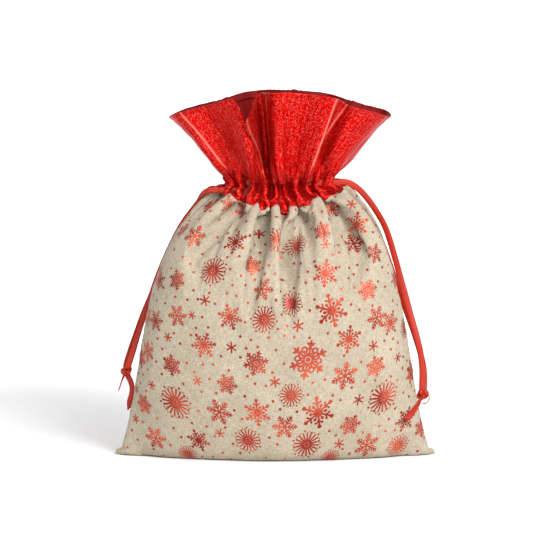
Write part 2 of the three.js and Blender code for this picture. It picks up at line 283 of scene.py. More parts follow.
TAILS = {
    "left_tail_long": (millimetres((-120.4, 6.6, 66), (-119.4, 7.4, 62.4), (-117.4, 7, 58.4),
                                   (-116.2, 6.6, 53),
                                   (-116.8, 7, 47.4), (-118.4, 8.2, 41.6), (-118.2, 9, 35.8)),
                       (10, -14, -24, -8), 0.0045),
    "left_tail_short": (millimetres((-121, 3, 66), (-122.6, 1.6, 62.8), (-123.6, 1, 60), (-124.8, 0.6, 56.4),
                                    (-126, 0.4, 53)), (70, 82, 84), 0.0045),
    "right_tail_long": (millimetres((119, -4, 48), (117.4, -7.6, 46), (115.4, -12.6, 43),
                                    (112.4, -17.8, 39.6),
                                    (109, -22.8, 36), (105.6, -27, 33)), (-40, -28, -14), 0.0045),
    "right_tail_short": (millimetres((121.6, 1, 50), (124.3, 1, 48.8), (125.4, 1, 46.4), (124.9, 0.8, 43.6),
                                     (123, 0.6, 41.6), (120.6, 0.4, 40.8)), (86, 88, 90, 88), 0.0045),
}
KNOTS = {"left": (-0.1206, 0.006, 0.067), "right": (0.1194, -0.001, 0.049)}
TUNNEL_MOUTHS = {"left": (-0.045, 0.215), "right": (0.045, 0.221)}

for side in ("left", "right"):
    out = -1 if side == "left" else 1
    mouth_x, mouth_z = TUNNEL_MOUTHS[side]
    free, held = side + "_ribbon_free", side + "_drawstring"

    # The overhand knot: the doubled ribbon passed round and through itself and pulled tight.
    around = np.linspace(0, 2 * math.pi, 29)
    lump = np.stack([np.sin(around) + 2 * np.sin(2 * around), np.cos(around) - 2 * np.cos(2 * around),
                     -1.25 * np.sin(3 * around)], 1) * 0.00128
    tilt = np.array(Matrix.Rotation(math.radians(35 * out), 3, "Y")
                    @ Matrix.Rotation(math.radians(70), 3, "X"))
    lump = lump @ tilt.T + np.array(KNOTS[side])
    knot, _ = ribbon(side + "_knot_tied", lump, (0, 30, -20, 40, 10, -30, 0), free, width=0.0036,
                     step=0.0008, cup=0.0005)
    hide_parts(side + "_knot")

    for end in ("long", "short"):
        points, turns, width = TAILS[f"{side}_tail_{end}"]
        tail, _ = ribbon(f"{side}_tail_{end}_cut", points, turns, free, width=width, slant=0.0035)
        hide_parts(f"{side}_tail_{end}")

    for strand in (f"{side}_strand_front", f"{side}_strand_back"):
        piece, path = ribbon(strand + "_hanging", STRANDS[strand], STRAND_TURNS[strand], None)
        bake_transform(piece)
        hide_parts(strand)

    bend = [(0.021 * -out + 0.009 * -out * math.cos(a), 0.009 * math.sin(a), mouth_z)
            for a in np.linspace(-math.pi / 2, math.pi / 2, 9)]
    legs = ([(mouth_x, -0.009, mouth_z), (mouth_x * 0.5, -0.009, mouth_z), (0, -0.009, mouth_z)] + bend
            + [(0, 0.009, mouth_z), (mouth_x * 0.5, 0.009, mouth_z), (mouth_x, 0.009, mouth_z)])
    path = smooth_path(legs, 0.0015)
    run_face = np.degrees(np.unwrap(np.arctan2(np.gradient(path[:, 1]), np.gradient(path[:, 0]))))
    start_face = 0.0 if out < 0 else 180.0
    run_piece, _ = ribbon(side + "_ribbon_in_tunnel", legs, tuple(run_face - run_face[0] + start_face), held)
    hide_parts(side + "_ribbon_run")

# ---- the sack's cloth --------------------------------------------------------------------------------
# One tube of cloth, 520 mm round: linen up to the join, glittering lame above it. The tube is cut flat, its
# foot is squeezed together into the bottom seam, and the drawstring gathers it at the neck. It is laid out here
# in pleats whose length round is the cloth's own, then settles as cloth: held at the neck and the foot, filled
# from inside, and pulled down by its own weight. Every length below is in metres.

ROUND_THE_SACK = 0.52
NECK_UP = 0.2635          # the flat cloth's height at the middle of the tunnel
JOIN_UP = 0.2490          # where the linen ends and the lame collar starts
RIM_UP = 0.341            # the finished edge of the collar
COLUMNS = 208
row_up = np.concatenate([np.arange(0, 0.18, 0.0042), np.arange(0.1805, RIM_UP - 0.0014, 0.0028), [RIM_UP]])
rows = len(row_up)

# Height, half width, half depth and squareness of the sack as it stands.
SACK_SHAPE = np.array([
    (0.000, 0.1300, 0.0385, 1.35), (0.006, 0.1285, 0.0415, 1.45), (0.018, 0.1225, 0.0445, 1.70),
    (0.032, 0.1185, 0.0465, 1.85), (0.062, 0.1120, 0.0485, 2.10), (0.095, 0.1080, 0.0495, 2.25),
    (0.130, 0.1020, 0.0485, 2.30), (0.155, 0.0945, 0.0450, 2.30), (0.173, 0.0865, 0.0390, 2.30),
    (0.187, 0.0790, 0.0320, 2.30), (0.198, 0.0705, 0.0255, 2.30), (0.206, 0.0610, 0.0205, 2.30),
    (0.213, 0.0480, 0.0170, 2.40), (0.218, 0.0385, 0.0155, 2.50), (0.224, 0.0430, 0.0155, 2.50),
    (0.232, 0.0515, 0.0190, 2.40), (0.241, 0.0585, 0.0230, 2.30), (0.260, 0.0710, 0.0310, 2.10),
    (0.274, 0.0820, 0.0380, 2.00), (0.282, 0.0880, 0.0430, 2.00)])
# Folds round the sack, as (share of the way round from the left seam, height of the fold).
BODY_FOLDS = [(0.0, -0.3), (0.05, 0.45), (0.11, -0.55), (0.16, 0.25), (0.19, 0.55), (0.217, -0.5),
              (0.245, 0.75),
              (0.272, -1.0), (0.32, 0.8), (0.355, 0.2), (0.40, -0.75), (0.45, 0.45), (0.5, -0.3), (0.56, 0.5),
              (0.62, -0.7), (0.68, 0.6), (0.73, -0.8), (0.79, 0.7), (0.85, -0.6), (0.92, 0.6)]
COLLAR_FOLDS = [(0.0, 0.0), (0.055, 0.55), (0.10, 0.0), (0.178, 1.0), (0.206, -0.9), (0.236, 0.55),
                (0.30, 0.2),
                (0.352, 0.75), (0.372, -0.45), (0.395, 0.6), (0.45, 0.15), (0.5, 0.0), (0.55, 0.65),
                (0.60, -0.35),
                (0.66, 0.6), (0.72, -0.7), (0.79, 0.75), (0.86, -0.5), (0.93, 0.45)]


def ease(start, end, value):
    """0 up to start, 1 from end, and smooth between them."""
    share = np.clip((value - start) / (end - start), 0, 1)
    return share * share * (3 - 2 * share)


def outline(turns, half_width, half_depth, squareness):
    """Points and outward directions evenly along a rounded outline, from its left end round the front."""
    angle = 2 * np.pi * np.linspace(0, 1, 1441)
    bent = lambda value: np.sign(value) * np.abs(value) ** (2 / squareness)
    x, y = -half_width * bent(np.cos(angle)), -half_depth * bent(np.sin(angle))
    run = np.concatenate([[0], np.cumsum(np.hypot(np.diff(x), np.diff(y)))])
    at = lambda t: (np.interp(t % 1.0 * run[-1], run, x), np.interp(t % 1.0 * run[-1], run, y))
    (x0, y0), (x1, y1), (x2, y2) = at(turns - 0.004), at(turns), at(turns + 0.004)
    length = np.hypot(x2 - x0, y2 - y0)
    return x1, y1, (y2 - y0) / length, (x0 - x2) / length, run[-1]


def through_folds(turns, folds, roundness):
    """The height of the folds at each turn. They are sharp at roundness 0 and soft at 1."""
    at = np.array([fold[0] for fold in folds] + [1.0])
    high = np.array([fold[1] for fold in folds] + [folds[0][1]])
    i = np.clip(np.searchsorted(at, turns, side="right") - 1, 0, len(at) - 2)
    share = (turns - at[i]) / (at[i + 1] - at[i])
    share = share * (1 - roundness) + roundness * (1 - np.cos(np.pi * share)) / 2
    return high[i] + (high[i + 1] - high[i]) * share


def gathered_ring(z):
    """One level of the sack: the plain outline, and the same with folds that take up the whole cloth's length."""
    half_width, half_depth, squareness = (np.interp(z, SACK_SHAPE[:, 0], SACK_SHAPE[:, i]) for i in (1, 2, 3))
    fine = 2080
    turns = np.arange(fine) / fine
    x, y, out_x, out_y, run = outline(turns, half_width, half_depth, squareness)
    uneven = turns + 0.006 * np.sin(6 * np.pi * turns + 1) + 0.004 * np.sin(14 * np.pi * turns + 2)
    pleats = ease(0.196, 0.208, z) * (1 - ease(0.220, 0.230, z))
    gathers = ease(0.168, 0.190, z) * (1 - 0.9 * ease(0.198, 0.212, z))
    folds = ease(0.110, 0.165, z) * (1 - 0.85 * ease(0.180, 0.204, z))
    fan = ease(0.221, 0.240, z)
    wave = (pleats * np.cos(44 * np.pi * uneven) / 22 + gathers * np.cos(22 * np.pi * uneven + 0.6) / 11
            + folds * through_folds(turns, BODY_FOLDS, 1) * 0.11 + fan
            * through_folds(turns, COLLAR_FOLDS, 0.25) * 0.13)

    def folded(depth):
        qx, qy = x + out_x * wave * depth, y + out_y * wave * depth
        qx, qy = np.append(qx, qx[0]), np.append(qy, qy[0])
        return qx, qy, np.concatenate([[0], np.cumsum(np.hypot(np.diff(qx), np.diff(qy)))])

    low, high = 0.0, 0.35
    if run < ROUND_THE_SACK and np.abs(wave).max() > 1e-6:
        for _ in range(24):
            middle = (low + high) / 2
            if folded(middle)[2][-1] < ROUND_THE_SACK:
                low = middle
            else:
                high = middle
    qx, qy, along = folded(low)
    half, each = fine // 2, COLUMNS // 2
    at = np.concatenate([np.arange(each) / each * along[half],
                         along[half] + np.arange(each) / each * (along[-1] - along[half])])
    plain_x, plain_y, _, _, _ = outline(np.arange(COLUMNS) / COLUMNS, half_width, half_depth, squareness)
    return np.stack([np.interp(at, along, qx), np.interp(at, along, qy)], 1), np.stack([plain_x, plain_y], 1)


# The foot: below its own height each column of cloth lies flat on the floor, out from the bottom seam.
turns = np.arange(COLUMNS) / COLUMNS
flat_x = np.where(turns < 0.5, -0.13 + 0.52 * turns, 0.13 - 0.52 * (turns - 0.5))
facing = np.where(turns < 0.5, -1.0, 1.0)
foot = 0.0385 * (1 - np.abs(flat_x / 0.13001) ** 1.35) ** (1 / 1.35)
foot[0] = foot[COLUMNS // 2] = 0
levels = np.concatenate([np.linspace(0, 0.2, 41), np.linspace(0.202, 0.282, 41)])
gathered, plain = np.zeros((len(levels), COLUMNS, 3)), np.zeros((len(levels), COLUMNS, 3))
for k, z in enumerate(levels):
    ring, plain_ring = gathered_ring(z)
    above = ease(0.0, 0.05, z)
    ring[:, 0] = (ring[:, 0] * above
                  + flat_x * (1 - above) * np.interp(z, SACK_SHAPE[:, 0], SACK_SHAPE[:, 1]) / 0.13)
    gathered[k] = np.column_stack([ring, np.full(COLUMNS, z)])
    plain[k] = np.column_stack([plain_ring, np.full(COLUMNS, z)])
# The collar stands higher at the front and back than at its side tips.
for shape in (gathered, plain):
    shape[..., 2] += ease(0.218, 0.282, shape[..., 2]) * (0.009 - 0.021
                                                          * np.clip((plain[..., 0] / 0.087) ** 2, 0, 1))
neck_level = int(np.argmin(np.abs(levels - 0.218)))
cloth = np.zeros((rows, COLUMNS, 3))
for j in range(COLUMNS):
    run = np.concatenate([[0], np.cumsum(np.linalg.norm(np.diff(plain[:, j], axis=0), axis=1))])
    at_neck = run[neck_level]
    flat_up = np.where(np.arange(len(run)) <= neck_level, foot[j] + (NECK_UP - foot[j]) * run / at_neck,
                       NECK_UP + (RIM_UP - NECK_UP) * (run - at_neck) / (run[-1] - at_neck))
    for axis in range(3):
        cloth[:, j, axis] = np.interp(row_up, flat_up, gathered[:, j, axis])
    under = row_up < foot[j]
    cloth[under, j] = np.column_stack([np.full(under.sum(), flat_x[j]), facing[j] * row_up[under],
                                       np.zeros(under.sum())])


def settle(cloth, steps, push, weight_down, free, shape, shape_hold, roundness):
    """Position-based cloth: each step moves it by its speed, its weight and the push from inside, then brings
    every thread back to its length, and opens any bend that is too tight. free is 0 where it is held."""
    across, up = ROUND_THE_SACK / COLUMNS, np.diff(row_up)[:, None, None]
    now, speed, held, first, free = cloth.copy(), np.zeros_like(cloth), free == 0, cloth.copy(), free[..., None]

    def pull(a, b, free_a, free_b, rest, stiff=1.0, only_push=False):
        apart = b - a
        length = np.sqrt((apart * apart).sum(-1, keepdims=True)) + 1e-12
        share = (length - rest) / length / np.maximum(free_a + free_b, 1e-9) * stiff
        if only_push:
            share = np.minimum(share, 0)
        return apart * share * free_a, -apart * share * free_b

    for _ in range(steps):
        beside = np.roll(now, -1, 1) - np.roll(now, 1, 1)
        above = np.empty_like(now)
        above[1:-1], above[0], above[-1] = now[2:] - now[:-2], now[1] - now[0], now[-1] - now[-2]
        before = now.copy()
        speed *= 0.9
        speed[..., 2] -= weight_down
        speed += np.cross(beside, above) * push[:, None, None]
        now += speed * (free > 0)
        now += (shape - now) * shape_hold[..., None]
        for _ in range(6):
            for start in (0, 1):
                here = np.arange(start, COLUMNS, 2)
                there = (here + 1) % COLUMNS
                a, b = pull(now[:, here], now[:, there], free[:, here], free[:, there], across)
                now[:, here] += a
                now[:, there] += b
            for start in (0, 1):
                i = np.arange(start, rows - 1, 2)
                a, b = pull(now[i], now[i + 1], free[i], free[i + 1], up[i])
                now[i] += a
                now[i + 1] += b
            for slope in (1, -1):
                for start in (0, 1):
                    i = np.arange(start, rows - 1, 2)
                    turned, turned_free = np.roll(now, -slope, 1), np.roll(free, -slope, 1)
                    a, b = pull(now[i], turned[i + 1], free[i], turned_free[i + 1],
                                np.sqrt(up[i] ** 2 + across ** 2), 0.3)
                    now[i] += a
                    now[i + 1] += np.roll(b, slope, 1)
            for gap, stiff, least in ((2, 0.5 * roundness, 0.97), (4, 0.25 * roundness, 0.9)):
                a, b = pull(now, np.roll(now, -gap, 1), free, np.roll(free, -gap, 1), across * gap * least,
                            stiff, True)
                now += (a + np.roll(b, gap, 1)) * 0.5
                rest = (row_up[gap:] - row_up[:-gap])[:, None, None] * (least + (0.01 if gap == 2 else 0.05))
                a, b = pull(now[:-gap], now[gap:], free[:-gap], free[gap:], rest, stiff, True)
                now[:-gap] += a * 0.5
                now[gap:] += b * 0.5
            now[..., 2] = np.maximum(now[..., 2], 0)
            now[held] = first[held]
        speed = np.clip(now - before, -0.002, 0.002)
    return now


flat_up = row_up[:, None] + 0 * turns[None, :]
free = np.ones((rows, COLUMNS))
free[np.abs(flat_up - NECK_UP) <= 0.006] = 0
free[flat_up <= foot[None, :] - 0.003] = 0
free[0] = 0
from_seam = (0.13 - np.abs(flat_x))[None, :]
shape_hold = (0.3 * np.exp(-(from_seam / 0.03) ** 2) * (1 - ease(0.05, 0.11, flat_up))
              + np.where(flat_up > NECK_UP + 0.006, 0.55, 0.0) + np.where(flat_up < 0.14, 0.06, 0.0))
cloth = settle(cloth, 60, np.where(row_up < NECK_UP - 0.008, 0.3, 0.0), 2e-6, free, cloth.copy(),
               shape_hold, 0.6)

# Iron the small ripples out of the lower body, which a filled sack doesn't have.
for _ in range(14):
    mean = (np.roll(cloth, 1, 1) + np.roll(cloth, -1, 1)) / 4 + cloth / 2
    mean[1:-1] = (mean[1:-1] * 2 + cloth[2:] + cloth[:-2]) / 4
    amount = ((1 - ease(0.10, 0.17, flat_up)) * ease(0.004, 0.02, flat_up - foot[None, :])
              * ease(0.004, 0.02, from_seam))
    cloth = cloth + (mean - cloth) * amount[..., None]

# The side seams are stiff: the cloth beside them runs smoothly from the foot to the neck.
for _ in range(90):
    mean = cloth.copy()
    mean[1:-1] = cloth[1:-1] / 2 + (cloth[2:] + cloth[:-2]) / 4
    amount = np.exp(-(from_seam / 0.018) ** 2) * ease(0.008, 0.018,
                                                      flat_up) * (1 - ease(0.235, 0.250, flat_up))
    cloth = cloth + (mean - cloth) * amount[..., None]

# The collar's cloth is crisp: its folds run straight up from the neck.
for _ in range(40):
    mean = cloth.copy()
    mean[1:-1] = cloth[1:-1] / 2 + (cloth[2:] + cloth[:-2]) / 4
    cloth = cloth + (mean - cloth) * ease(NECK_UP + 0.006, NECK_UP + 0.018, flat_up)[..., None]

# The gathers hang a little lower at the front of the neck, the top leans a little to the right, and the collar's
# rim turns out and down in a notch beside its deepest fold. Two rolled folds bulge just above the drawstring.
x, y, z = cloth[..., 0].copy(), cloth[..., 1].copy(), cloth[..., 2].copy()
near_neck = ease(0.222, 0.250, flat_up) * (1 - ease(0.272, 0.300, flat_up))
cloth[..., 2] -= 0.005 * near_neck * np.clip(1 - (x / 0.040) ** 2, 0, 1) * (1 - ease(-0.004, 0.004, y))
cloth[..., 0] += np.interp(z, (0.130, 0.160, 0.173, 0.186, 0.200, 0.213, 0.222),
                           (0, 0.0015, 0.003, 0.0045, 0.0060, 0.0045, 0.0036))
cloth[..., 2] *= 1 + 0.01 * ease(0.02, 0.10, z)
around = np.where(turns > 0.5, 1.0, turns)[None, :]
notch = np.clip(1 - np.abs(around - 0.172) / np.where(around < 0.172, 0.020, 0.046), 0,
                1) * ease(0.280, 0.341, flat_up)
cloth[..., 2] -= 0.022 * notch
cloth[..., 1] -= 0.008 * notch
for roll_x, roll_z, wide, high, proud in ((-0.001, 0.2295, 0.0125, 0.0145, 0.0065),
                                          (0.0255, 0.2285, 0.0095, 0.0095, 0.0045)):
    far = ((x - roll_x) / wide) ** 2 + ((z - roll_z) / high) ** 2
    cloth[..., 1] -= proud * np.sqrt(np.clip(1 - far, 0, 1)) * (y < 0) * (flat_up > NECK_UP + 0.004)


def cubic(values, at, loop=False):
    """Values at fractional places along the first axis, on a smooth curve through them."""
    whole = np.floor(at).astype(int)
    share = (at - whole).reshape(-1, *([1] * (values.ndim - 1)))
    pick = (lambda i: values[i % len(values)]) if loop else (lambda i: values[np.clip(i, 0, len(values) - 1)])
    a, b, c, d = (pick(whole + i) for i in (-1, 0, 1, 2))
    return 0.5 * (2 * b + (c - a) * share + (2 * a - 5 * b + 4 * c - d) * share ** 2
                  + (3 * b - a - 3 * c + d) * share ** 3)


# The same cloth at 1.25 mm round by 1.4 mm up, with its seams drawn in: the side seams and the join sit a little
# in from the cloth beside them, and the stitched tunnel puckers.
FINE_ROUND = COLUMNS * 2
fine_up = np.linspace(0, RIM_UP, 245)
smooth_cloth = cubic(cloth, np.interp(fine_up, row_up, np.arange(rows)))
smooth_cloth = cubic(smooth_cloth.transpose(1, 0, 2), np.arange(FINE_ROUND) / 2, loop=True).transpose(1, 0, 2)
smooth_cloth[..., 2] = np.maximum(smooth_cloth[..., 2], 0.0002)


def outward_of(grid):
    beside = np.roll(grid, -1, 1) - np.roll(grid, 1, 1)
    outward = np.cross(beside, np.gradient(grid, axis=0))
    return outward / (np.linalg.norm(outward, axis=-1, keepdims=True) + 1e-12)


fine_turn = np.arange(FINE_ROUND) / FINE_ROUND
fine_from_seam = (0.13 - np.abs(np.where(fine_turn < 0.5, -0.13 + 0.52 * fine_turn, 0.13 - 0.52
                                         * (fine_turn - 0.5))))[None, :]
grid_up = fine_up[:, None]
sunk = 0.0009 * np.exp(-(fine_from_seam / 0.0014) ** 2) * ease(0.012, 0.03, grid_up)
sunk = sunk + 0.0008 * np.exp(-((grid_up - JOIN_UP) / 0.0014) ** 2)
sunk = sunk + 0.0004 * np.exp(-((grid_up - RIM_UP + 0.0055) / 0.0012) ** 2)
for line in (NECK_UP - 0.0085, NECK_UP + 0.0075):
    pucker = 0.6 + 0.4 * np.sin(2 * np.pi * fine_turn * 97)[None, :]
    sunk = sunk + 0.0005 * np.exp(-((grid_up - line) / 0.0012) ** 2) * pucker
# Folds pressed by the gathering, as a side, the ends of each in millimetres across and up, its width, and how far
# it sinks. The ones that stand proud are below 0.
fine_x, fine_z, at_front = smooth_cloth[..., 0] * 1000, smooth_cloth[..., 2] * 1000, smooth_cloth[..., 1] < 0
for front, (x0, z0), (x1, z1), wide, deep in (
        (True, (7.5, 205), (9.0, 126), 2.9, 11.0), (True, (0.5, 206), (-1.0, 154), 3.4, -3.2),
        (True, (14.5, 206), (17.5, 158), 3.2, -3.0), (True, (22.0, 206), (27.0, 164), 2.4, 4.2),
        (True, (43.0, 207), (84.0, 148), 3.2, 5.0), (True, (-9.5, 206), (-15.0, 164), 2.6, 5.4),
        (True, (-15.0, 168), (-34.0, 136), 4.0, 2.4), (True, (-17.0, 206), (-22.0, 172), 3.0, -2.0),
        (True, (-26.0, 206), (-38.0, 170), 2.8, 2.4), (True, (33.0, 206), (48.0, 166), 3.0, 2.2),
        (False, (-4.0, 206), (-7.0, 140), 2.8, 5.0), (False, (6.0, 206), (12.0, 162), 3.0, 3.0),
        (False, (19.0, 206), (33.0, 160), 3.0, 2.6), (False, (-20.0, 206), (-38.0, 154), 3.0, 3.2),
        (False, (-38.0, 206), (-66.0, 160), 3.2, 2.4), (False, (40.0, 206), (70.0, 158), 3.2, 2.8)):
    run = math.hypot(x1 - x0, z1 - z0)
    along = ((fine_x - x0) * (x1 - x0) + (fine_z - z0) * (z1 - z0)) / run ** 2
    off = ((fine_x - x0) * (z1 - z0) - (fine_z - z0) * (x1 - x0)) / run
    strength = (np.exp(-(off / (wide * (0.8 + 0.5 * np.clip(along, 0, 1)))) ** 2)
                * ease(-0.06, 0.10, along) * (1 - ease(0.45, 1.0, along)))
    sunk = sunk + deep / 1000 * strength * (at_front == front)
ripple = (np.sin(2 * np.pi * (fine_turn[None, :] * 31 + grid_up * 23))
          * np.sin(2 * np.pi * (grid_up * 41 - fine_turn[None, :] * 13))
          + np.sin(2 * np.pi * (fine_turn[None, :] * 17 - grid_up * 37 + 0.3)))
sunk = sunk + 0.00016 * ripple * ease(0.02, 0.05, grid_up)
smooth_cloth = smooth_cloth - outward_of(smooth_cloth) * sunk[..., None]
outward = outward_of(smooth_cloth)


def on_cloth(turn, up, lift=0.0):
    """Where a place on the flat cloth has come to, and its outward direction. turn is its share of the way round."""
    turn, up = np.asarray(turn, float) % 1.0 * FINE_ROUND, np.clip(np.interp(up, fine_up, np.arange(245)),
                                                                   0, 243.999)
    i, j = np.floor(turn).astype(int) % FINE_ROUND, np.floor(up).astype(int)
    s, t = (turn - np.floor(turn))[..., None], (up - j)[..., None]
    k = (i + 1) % FINE_ROUND
    place, out = ((field[j, i] * (1 - s) + field[j, k] * s) * (1 - t)
                  + (field[j + 1, i] * (1 - s) + field[j + 1, k] * s) * t
                  for field in (smooth_cloth, outward))
    out = out / (np.linalg.norm(out, axis=-1, keepdims=True) + 1e-12)
    return place + out * np.asarray(lift)[..., None], out


def cloth_strip(name, finish, turn_from, turn_to, up_from, up_to, lift, thick, across, high, body="sack"):
    """A piece of cloth cut between two turns and two heights, as it lies in the settled sack."""
    made = bmesh.new()
    bmesh.ops.create_grid(made, x_segments=across, y_segments=high, size=0.5)
    cut = made.loops.layers.uv.new("cut")
    made.verts.ensure_lookup_table()
    share = np.array([(vert.co.x + 0.5, vert.co.y + 0.5) for vert in made.verts])
    turn, up = turn_from + (turn_to - turn_from) * share[:, 0], up_from + (up_to - up_from) * share[:, 1]
    place, _ = on_cloth(turn, up, np.full(len(turn), lift))
    for vert, spot in zip(made.verts, place):
        vert.co = Vector(spot)
    for loop in (loop for quad in made.faces for loop in quad.loops):
        loop[cut].uv = (turn[loop.vert.index] * ROUND_THE_SACK, up[loop.vert.index])
    mesh = bpy.data.meshes.new(name)
    made.to_mesh(mesh)
    made.free()
    piece = add_piece(name, mesh, finish, body)
    wall = piece.modifiers.new("thickness", "SOLIDIFY")
    wall.thickness, wall.offset, wall.use_rim = thick, -1.0, True
    return piece


linen, tree, shader = new_finish("natural linen", Roughness=0.92, Sheen_Weight=0.12, Sheen_Roughness=0.5,
                                 Sheen_Tint=(1.0, 0.95, 0.85, 1), Specular_IOR_Level=0.2)
uv, u, v = cut_place(tree)
THREAD = 0.00052
wander = maths(tree, "MULTIPLY", maths(tree, "SUBTRACT", patches(tree, uv, 160.0, 160.0, Detail=2.0), 0.5),
               0.0016)
warp = maths(tree, "SINE", maths(tree, "MULTIPLY", maths(tree, "ADD", u, wander), 2 * math.pi / THREAD))
weft = maths(tree, "SINE", maths(tree, "MULTIPLY", maths(tree, "ADD", v, wander), 2 * math.pi / THREAD))
weave = maths(tree, "MULTIPLY", warp, weft)
slub_across = patches(tree, uv, 220.0, 1500.0, Detail=3.0, Roughness=0.65)
slub_up = patches(tree, uv, 1500.0, 220.0, Detail=3.0, Roughness=0.65)
threads = maths(tree, "ADD", slub_across, slub_up)
mottle = patches(tree, uv, 38.0, 30.0, Detail=4.0)
share = node(tree, "ShaderNodeMapRange", ("Value",
                                          maths(tree, "ADD", threads, maths(tree, "MULTIPLY", mottle, 0.35))),
             ("From Min", 0.92), ("From Max", 1.45))
tone = blend_colours(tree, share.outputs[0], (0.270, 0.224, 0.160, 1), (0.515, 0.450, 0.346, 1))
pores = node(tree, "ShaderNodeMapRange", ("Value", weave), ("From Min", -1.0), ("From Max", 1.0),
             ("To Min", 0.24), ("To Max", 0.0))
tree.links.new(blend_colours(tree, pores.outputs[0], tone, (0.22, 0.175, 0.12, 1)),
               shader.inputs["Base Color"])
height = maths(tree, "ADD", maths(tree, "MULTIPLY", weave, 0.3), threads)
bump = node(tree, "ShaderNodeBump", ("Height", height), ("Strength", 0.5), ("Distance", 0.00022))
tree.links.new(bump.outputs[0], shader.inputs["Normal"])

PANELS = {"front": (0.0, 0.5), "back": (0.5, 1.0)}
for face, (turn_from, turn_to) in PANELS.items():
    panel = cloth_strip(face + "_panel_linen", linen, turn_from, turn_to, 0.0, JOIN_UP, 0.0, 0.00035, 208,
                        180)
    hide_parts(face + "_panel")

# ---- the printed snowflakes --------------------------------------------------------------------------
# Snowflakes and dots stamped on the linen in red foil before it was sewn. Each flake is laid out flat from bars,
# discs and rings, then goes where the cloth has taken it. The foil's colour is speckled, partly from wear where the
# threads stand proud and partly as painted glints where the foil catches the light. Broad patches of it are
# darkened as painted reflection.

foil, tree, shader = new_finish("red foil print", Roughness=0.40, Metallic=0.5, Specular_IOR_Level=0.4)
uv, u, v = cut_place(tree)
# Fine speckle in the foil, partly wear and partly painted glints: its bright orange-red end is painted light caught
# by the foil.
speckle = patches(tree, uv, 1300.0, 1300.0, Detail=4.0, Roughness=0.7)
glint = node(tree, "ShaderNodeTexVoronoi", ("Vector", uv), ("Scale", 1800.0))
wear_and_glint_colours = node(tree, "ShaderNodeValToRGB", (0, speckle))
wear_and_glint_colours.color_ramp.elements[0].position, wear_and_glint_colours.color_ramp.elements[0].color = 0.40, (0.200, 0.008, 0.003, 1)
wear_and_glint_colours.color_ramp.elements[1].position, wear_and_glint_colours.color_ramp.elements[1].color = 0.60, (0.840, 0.170, 0.085, 1)
# Broad patches of the foil darkened as painted reflection, in place of a darker surround that the metal would
# mirror.
painted_reflection_patches = node(tree, "ShaderNodeMapRange", ("Value", patches(tree, uv, 34.0, 34.0, Detail=2.0)),
             ("From Min", 0.34),
             ("From Max", 0.62), ("To Max", 0.95))
tree.links.new(blend_colours(tree, painted_reflection_patches.outputs[0], wear_and_glint_colours.outputs[0], (0.230, 0.007, 0.003, 1)),
               shader.inputs["Base Color"])
bump = node(tree, "ShaderNodeBump", ("Height", maths(tree, "ADD", speckle, glint.outputs[0])), ("Strength", 0.6),
            ("Distance", 0.00012))
tree.links.new(bump.outputs[0], shader.inputs["Normal"])


class Stamp:
    """The foil of one panel, laid out flat: x across and y up in metres, z only to keep its layers apart."""

    def __init__(self):
        self.made, self.layer = bmesh.new(), 0

    def place(self, centre, turned, x, y):
        """A matrix that puts a shape at x, y of a flake, turned with it."""
        self.layer += 1
        return (Matrix.Translation((centre[0], centre[1], 0.00010 + 0.000012 * (self.layer % 6)))
                @ Matrix.Rotation(turned, 4, "Z") @ Matrix.Translation((x, y, 0)))

    def bar(self, centre, turned, start, reach, width, lean=0.0):
        """A bar that starts at start on a flake's arm and reaches out from it, leaning off by an angle."""
        matrix = (self.place(centre, turned, 0, start) @ Matrix.Rotation(lean, 4, "Z")
                  @ Matrix.Translation((0, reach / 2, 0)) @ Matrix.Diagonal((width, reach, 1, 1)))
        bmesh.ops.create_grid(self.made, x_segments=1, y_segments=max(1, round(reach / 0.0012)), size=0.5,
                              matrix=matrix)

    def disc(self, centre, turned, out, radius, long=1.0, sides=8):
        """A disc on a flake's arm, or an oval when long isn't 1."""
        matrix = self.place(centre, turned, 0, out) @ Matrix.Diagonal((1, long, 1, 1))
        bmesh.ops.create_circle(self.made, cap_ends=True, cap_tris=True, segments=sides, radius=radius,
                                matrix=matrix)

    def ring(self, centre, turned, out, radius, band, long=1.0, sides=10):
        """A ring on a flake's arm."""
        matrix = self.place(centre, turned, 0, out) @ Matrix.Diagonal((1, long, 1, 1))
        found = bmesh.ops.create_circle(self.made, segments=sides, radius=radius, matrix=matrix)
        edges = list({edge for vert in found["verts"] for edge in vert.link_edges})
        grown = bmesh.ops.extrude_edge_only(self.made, edges=edges)["geom"]
        inner = [item for item in grown if isinstance(item, bmesh.types.BMVert)]
        middle = matrix @ Vector((0, 0, 0))
        for vert in inner:
            vert.co = middle + (vert.co - middle) * (1 - band / radius)


